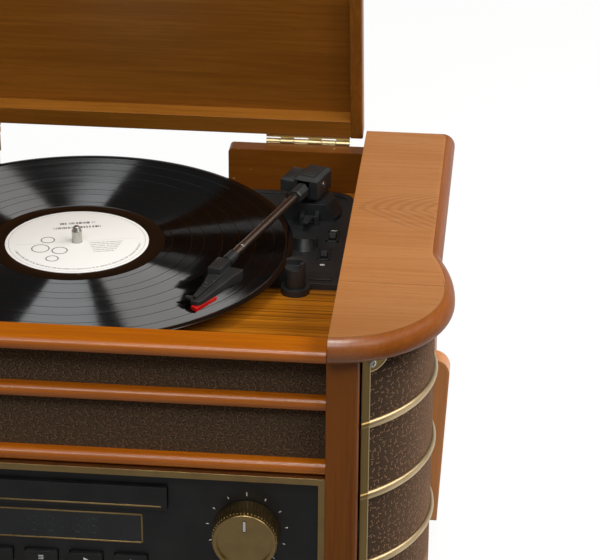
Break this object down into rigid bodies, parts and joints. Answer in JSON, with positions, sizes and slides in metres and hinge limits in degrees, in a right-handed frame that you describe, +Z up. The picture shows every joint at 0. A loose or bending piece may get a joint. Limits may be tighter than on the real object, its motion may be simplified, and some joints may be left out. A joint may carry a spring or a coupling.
{
  "type": "music center",
  "caption": "Retro wooden music center: record deck under a hinged lid, slatted cloth front with a disc drawer, round side speakers.",
  "frame": {"origin": "on the floor under the feet, at the centre of the overall box with the lid open", "axes": "+X to the right seen from the front, +Y to the back, +Z up"},
  "size_m": [0.502, 0.3563, 0.545],
  "materials": {
    "wood_orange": "satin lacquered veneer",
    "wood_brown": "satin lacquered solid wood",
    "wood_lid": "satin lacquered veneer",
    "fibreboard": "plain stained board",
    "rubber": "matte black",
    "cloth": "dark patterned grille cloth",
    "champagne": "satin champagne",
    "brass": "bright",
    "steel": "bright",
    "bronze": "oiled sintered bush",
    "zinc": "bare zinc plate",
    "speaker": "black basket and paper cone",
    "cast_platter": "cast",
    "vinyl": "grooved gloss black",
    "black": "fine matte black",
    "panel_black": "satin black",
    "arm_metal": "dark anodised",
    "red": "gloss red",
    "knob": "champagne",
    "switch": "light grey",
    "window": "smoked",
    "board": "green circuit board"
  },
  "bodies": {
    "cabinet": {"base_panel": "fibreboard", "rubber_feet": "rubber", "inner_walls": "wood_brown", "front_posts": "wood_brown", "shoulder_right": "wood_orange", "shoulder_left": "wood_orange", "shoulder_edgings": "wood_brown", "rear_fins": "wood_brown", "side_panels": "wood_brown", "back_panel": "fibreboard", "screws": "steel", "mains_inlet": "black", "front_rail": "wood_orange", "slat_upper": "wood_orange", "slat_lower": "wood_orange", "bottom_rail": "wood_orange", "front_cloth": "cloth", "fascia_bezel": "champagne", "fascia": "panel_black", "display_window": "window", "control_pots": "zinc", "speaker_cloths": "cloth", "speaker_frames": "champagne", "speaker_drivers": "speaker", "deck": "wood_orange", "hinge_blocks": "wood_orange", "hinge_leaves": "brass", "hinge_pins": "brass", "platter_bearing": "bronze", "motor": "zinc", "drive_belt": "rubber", "arm_base_plate": "black", "arm_pedestal": "black", "arm_rest": "black", "cd_loader": "black", "main_board": "board", "transformer": "zinc"},
    "lid": {"lid_stiles": "wood_lid", "lid_rails": "wood_lid", "lid_panel": "wood_lid", "lid_hinge_leaves": "brass"},
    "turntable": {"platter": "cast_platter", "platter_mat": "rubber", "record": "vinyl", "spindle": "steel"},
    "pulley": {"motor_pulley": "steel"},
    "arm_yoke": {"arm_housing": "black"},
    "arm": {"arm_tube": "arm_metal", "headshell": "black", "stylus_guard": "red"},
    "lever": {"cue_lever": "black"},
    "speed": {"speed_switch": "switch"},
    "stop": {"stop_switch": "switch"},
    "volume": {"volume_knob": "knob"},
    "tuning": {"tuning_knob": "knob"},
    "drawer": {"cd_drawer": "panel_black"},
    "power": {"power_button": "panel_black"},
    "source": {"source_button": "panel_black"},
    "play": {"play_button": "panel_black"},
    "open": {"open_button": "panel_black"}
  },
  "joints": [
    {"name": "lid_hinge", "type": "hinge", "parent": "cabinet", "child": "lid", "pos_m": [0, 0.1653, 0.2215], "axis": [-1, 0, 0], "range_deg": [-75, 0]},
    {"name": "platter_spin", "type": "hinge", "parent": "cabinet", "child": "turntable", "pos_m": [-0.0165, 0.0154, 0.19], "axis": [0, 0, 1], "continuous": true},
    {"name": "pulley_spin", "type": "hinge", "parent": "cabinet", "child": "pulley", "pos_m": [-0.0766, 0.0755, 0.18], "axis": [0, 0, 1], "continuous": true},
    {"name": "arm_swing", "type": "hinge", "parent": "cabinet", "child": "arm_yoke", "pos_m": [0.138, 0.1054, 0.2], "axis": [0, 0, 1], "range_deg": [-25, 17.8]},
    {"name": "arm_lift", "type": "hinge", "parent": "arm_yoke", "child": "arm", "pos_m": [0.138, 0.1054, 0.216], "axis": [-0.9519, 0.3064, 0], "range_deg": [0, 8]},
    {"name": "cue_lift", "type": "hinge", "parent": "cabinet", "child": "lever", "pos_m": [0.1395, 0.0855, 0.197], "axis": [-1, 0, 0], "range_deg": [0, 24]},
    {"name": "speed_slide", "type": "slide", "parent": "cabinet", "child": "speed", "axis": [0, 1, 0], "range_m": [-0.003, 0.003]},
    {"name": "stop_slide", "type": "slide", "parent": "cabinet", "child": "stop", "axis": [0, 1, 0], "range_m": [-0.003, 0.003]},
    {"name": "volume_turn", "type": "hinge", "parent": "cabinet", "child": "volume", "pos_m": [-0.122, -0.158, 0.084], "axis": [0, 1, 0], "range_deg": [-140, 140]},
    {"name": "tuning_turn", "type": "hinge", "parent": "cabinet", "child": "tuning", "pos_m": [0.122, -0.158, 0.084], "axis": [0, 1, 0], "continuous": true},
    {"name": "drawer_slide", "type": "slide", "parent": "cabinet", "child": "drawer", "axis": [0, -1, 0], "range_m": [0, 0.135]},
    {"name": "power_press", "type": "slide", "parent": "cabinet", "child": "power", "axis": [0, 1, 0], "range_m": [0, 0.0015], "stiffness_N_per_m": 300, "springref_m": -0.001},
    {"name": "source_press", "type": "slide", "parent": "cabinet", "child": "source", "axis": [0, 1, 0], "range_m": [0, 0.0015], "stiffness_N_per_m": 300, "springref_m": -0.001},
    {"name": "play_press", "type": "slide", "parent": "cabinet", "child": "play", "axis": [0, 1, 0], "range_m": [0, 0.0015], "stiffness_N_per_m": 300, "springref_m": -0.001},
    {"name": "open_press", "type": "slide", "parent": "cabinet", "child": "open", "axis": [0, 1, 0], "range_m": [0, 0.0015], "stiffness_N_per_m": 300, "springref_m": -0.001}
  ],
  "couplings": [
    {"joint": "pulley_spin", "follows": "platter_spin", "ratio": 12.4},
    {"joint": "cue_lift", "follows": "arm_lift", "ratio": 3}
  ]
}
